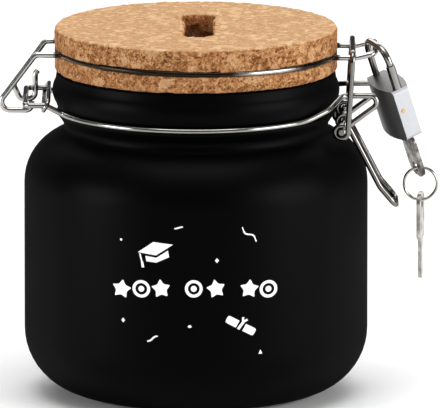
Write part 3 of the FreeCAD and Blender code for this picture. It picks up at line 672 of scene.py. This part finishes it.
def placed(bm, verts, where, turn=0.0, size=(1, 1)):
    """Sizes, turns and moves a flat figure drawn round the origin in X and Z."""
    matrix = Matrix.Translation(where) @ Matrix.Rotation(-math.radians(turn), 4, "Y")
    matrix = matrix @ Matrix.Diagonal((size[0], 1, size[1], 1))
    bmesh.ops.transform(bm, matrix=matrix, verts=verts)


def upright(bm, verts):
    """Turns a figure from the XY plane to the XZ plane."""
    bmesh.ops.rotate(bm, verts=verts, matrix=Matrix.Rotation(math.pi / 2, 3, "X"))


def disc(bm, where, radius, sides=24, turn=0.0, size=(1, 1)):
    """A round figure, or with three or four sides a triangle or a lozenge."""
    verts = bmesh.ops.create_circle(bm, cap_ends=True, segments=sides, radius=radius)["verts"]
    upright(bm, verts)
    placed(bm, verts, where, turn, size)


def star(bm, where, radius, turn=0.0):
    """Chunky star with rounded points."""
    verts = bmesh.ops.create_circle(bm, cap_ends=True, segments=10, radius=radius)["verts"]
    for index, vert in enumerate(verts):
        if index % 2:
            vert.co *= 0.56
    bmesh.ops.bevel(
        bm, geom=verts, offset=radius * 0.13, segments=3, profile=0.5, affect="VERTICES", material=-1
    )
    upright(bm, bm.verts[:])
    placed(bm, bm.verts[:], where, turn)


def coin(bm, where, radius):
    """Coin: a ring with a small disc inside."""
    verts = bmesh.ops.create_circle(bm, cap_ends=True, segments=32, radius=radius)["verts"]
    upright(bm, verts)
    face = verts[0].link_faces[0]
    bmesh.ops.inset_individual(bm, faces=[face], thickness=radius * 0.34)
    bmesh.ops.delete(bm, geom=[face], context="FACES_ONLY")
    placed(bm, bm.verts[:], where)
    disc(bm, where, radius * 0.34)


def ribbon(bm, where, length, width, wave, waves, turn):
    """A short wavy strip."""
    verts = bmesh.ops.create_grid(bm, x_segments=14, y_segments=1, size=0.5)["verts"]
    for vert in verts:
        taper = 1 - 0.35 * (2 * abs(vert.co.x)) ** 3
        vert.co.y = vert.co.y * width * taper + wave * math.sin(vert.co.x * math.tau * waves)
        vert.co.x *= length
    upright(bm, verts)
    placed(bm, verts, where, turn)


def panel(bm, corners):
    """A four-sided figure, with its corners given round it."""
    verts = bmesh.ops.create_grid(bm, x_segments=1, y_segments=1, size=0.5)["verts"]
    order = sorted(verts, key=lambda vert: math.atan2(vert.co.y, vert.co.x))
    for vert, corner in zip(order, corners):
        vert.co = spot(*corner)


def bar(bm, where, length, height, turn):
    """A straight strip."""
    verts = bmesh.ops.create_grid(bm, x_segments=1, y_segments=1, size=0.5)["verts"]
    upright(bm, verts)
    placed(bm, verts, where, turn, (length, height))


def make_cap_print():
    """Graduate's cap: board, band and tassel."""
    bm = bmesh.new()
    for corners in (CAP_BOARD, CAP_BAND_LEFT, CAP_BAND_RIGHT, TASSEL_CORD, TASSEL_END):
        panel(bm, corners)
    return wrapped("print_cap", bm)


def make_scroll_print():
    """Rolled diploma with a tied band."""
    bm = bmesh.new()
    middle = spot(*SCROLL_MIDDLE)
    turn = -29
    along = Vector((math.cos(math.radians(turn)), 0, math.sin(math.radians(turn))))
    up = Vector((-along.z, 0, along.x))
    # The roll on each side of the band, its round ends, the band and the bow on it
    for offset, length in ((-2.9, 3.5), (3.0, 3.4)):
        bar(bm, middle + along * offset, length, 2.6, turn)
    for offset in (-4.95, 4.95):
        disc(bm, middle + along * offset, 1.25, 16, turn, (0.3, 1))
    bar(bm, middle, 0.9, 2.9, turn - 8)
    for lean, offset in ((-32, 0.55), (28, -0.25)):
        bar(bm, middle + up * 2.1 + along * offset, 0.7, 1.7, turn + lean)
    return wrapped("print_scroll", bm)


def make_confetti_print():
    """Dots, lozenges and wavy strips scattered round the middle row."""
    bm = bmesh.new()
    for pixel, radius, sides, size in (
        ((122, 239), 0.42, 12, (1, 1)),
        ((217, 260), 0.85, 4, (0.8, 1)),
        ((124, 319), 0.80, 4, (0.8, 1)),
        ((190, 325.5), 0.62, 16, (1, 0.75)),
        ((260, 351), 0.95, 3, (0.8, 1)),
    ):
        disc(bm, spot(*pixel), radius, sides, size=size)
    for pixel, length, width, wave, waves, turn in (
        ((179, 227.5), 2.9, 0.55, 0.18, 0.5, 6),
        ((249, 234), 6.9, 0.55, 0.55, 1.3, -40),
        ((153, 337.5), 4.0, 0.6, 0.35, 0.8, 22),
    ):
        ribbon(bm, spot(*pixel), length, width, wave, waves, turn)
    return wrapped("print_confetti", bm)


def make_row_print():
    """Three groups of stars and coins across the middle."""
    bm = bmesh.new()
    for px, kind, tilt in (
        (122.5, "star", -8),
        (142, "coin", 0),
        (161.5, "star", 6),
        (194, "coin", 0),
        (216, "star", 10),
        (249, "star", -6),
        (268, "coin", 0),
    ):
        figure = bmesh.new()
        if kind == "star":
            star(figure, spot(px, ROW_LEVEL), 3.35, tilt)
        else:
            coin(figure, spot(px, ROW_LEVEL), 2.95)
        holder = bpy.data.meshes.new("figure")
        figure.to_mesh(holder)
        figure.free()
        bm.from_mesh(holder)
        bpy.data.meshes.remove(holder)
    return wrapped("print_row", bm)


# Finishes of the solids that are kept

FINISHES = {
    WIRE: ("neck_wire", "hinge_link"),
    LATCH: ("latch_lever", "latch_bail"),
    LID_WIRE: ("lid_wire",),
    BRIGHT: ("shackle", "shackle_sleeve"),
    RING: ("split_ring",),
    CASE: ("padlock_case", "chamber_plugs"),
    BRASS: ("retaining_pin", "lock_bolt", "cylinder_plug", "key_pins", "driver_pins"),
    SPRING: ("pin_springs", "shackle_spring"),
    SHADED_NICKEL: ("lock_key",),
    NICKEL: ("spare_key",),
}

# The turn from upright to the hanging lock case: X lies across its narrow sides and Z along its height
CASE_TURN = Matrix.Rotation(math.radians(LOCK_TURN), 3, "Z")
CASE_TURN = CASE_TURN @ Matrix.Rotation(math.radians(LOCK_PITCH), 3, "Y")
CASE_TURN = CASE_TURN @ Matrix.Rotation(math.radians(LOCK_ROLL), 3, "X")


def finish_case(case):
    """Ground broad faces, one milled narrow side at the case's +X and sawn ends, with softly broken edges;
    the other narrow side stays ground.
    """
    for material in (CASE_EDGE, CASE_TOP):
        case.data.materials.append(material)
    across = CASE_TURN @ Vector((1, 0, 0))
    height = CASE_TURN @ Vector((0, 0, 1))
    nearly = 0.8
    for face in case.data.polygons:
        if face.normal.dot(across) > nearly:
            face.material_index = 1
        elif abs(face.normal.dot(height)) > nearly:
            face.material_index = 2
        else:
            face.material_index = 0
    round_edges(case, 0.3 * MM, 3)


def finish_solids():
    """Gives the kept solids their finishes."""
    for material, names in FINISHES.items():
        for name in names:
            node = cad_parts[name]
            node.data.materials.clear()
            node.data.materials.append(material)
    finish_case(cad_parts["padlock_case"])
    for name in ("lock_key", "spare_key"):
        round_edges(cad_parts[name], 0.18 * MM, 2)


# Studio


def softbox(name, location, aim, size, power):
    """A rectangular light that faces its aim."""
    data = bpy.data.lights.new(name, "AREA")
    data.shape = "RECTANGLE"
    data.size, data.size_y = size
    data.energy = power
    light = bpy.data.objects.new(name, data)
    light.location = location
    light.rotation_euler = (Vector(aim) - Vector(location)).to_track_quat("-Z", "Y").to_euler()
    bpy.context.scene.collection.objects.link(light)


def make_studio():
    """Floor, backdrop and four softboxes."""
    bm = bmesh.new()
    bmesh.ops.create_grid(bm, x_segments=1, y_segments=1, size=6)
    mesh = bpy.data.meshes.new("floor")
    bm.to_mesh(mesh)
    bm.free()
    mesh.materials.append(pale_floor())
    floor = bpy.data.objects.new("floor", mesh)
    bpy.context.scene.collection.objects.link(floor)
    world = bpy.data.worlds.new("studio")
    world.use_nodes = True
    tree = world.node_tree
    way = add_node(tree, "ShaderNodeTexCoord", output="Generated")
    up = add_node(tree, "ShaderNodeSeparateXYZ", inputs={"Vector": way}, output="Z")
    sky = ramp(tree, up, (0.0, grey(0.03)), (0.3, grey(0.06)), (0.5, grey(0.20)), (0.9, grey(0.55)))
    # The dim room lights the jar, and a plain pale backdrop stands behind it
    seen = add_node(tree, "ShaderNodeLightPath", output="Is Camera Ray")
    backdrop = mix(tree, seen, sky, grey(0.95))
    tree.links.new(backdrop.socket, tree.nodes["Background"].inputs["Color"])
    bpy.context.scene.world = world
    softbox("softbox_left", (-0.98, -0.42, 0.18), (0, 0, 0.07), (0.5, 0.55), 8.0)
    softbox("softbox_right", (1.04, -0.47, 0.34), (0, 0, 0.07), (0.8, 0.6), 12.0)
    softbox("softbox_top", (0.0, -0.2, 1.2), (0, 0, 0.1), (0.9, 0.7), 8.0)
    softbox("softbox_back", (0.0, 1.1, 0.9), (0, 0.35, 0), (1.6, 0.8), 11.0)


make_jar()
make_cork()
make_cap_print()
make_scroll_print()
make_confetti_print()
make_row_print()
finish_solids()
make_studio()
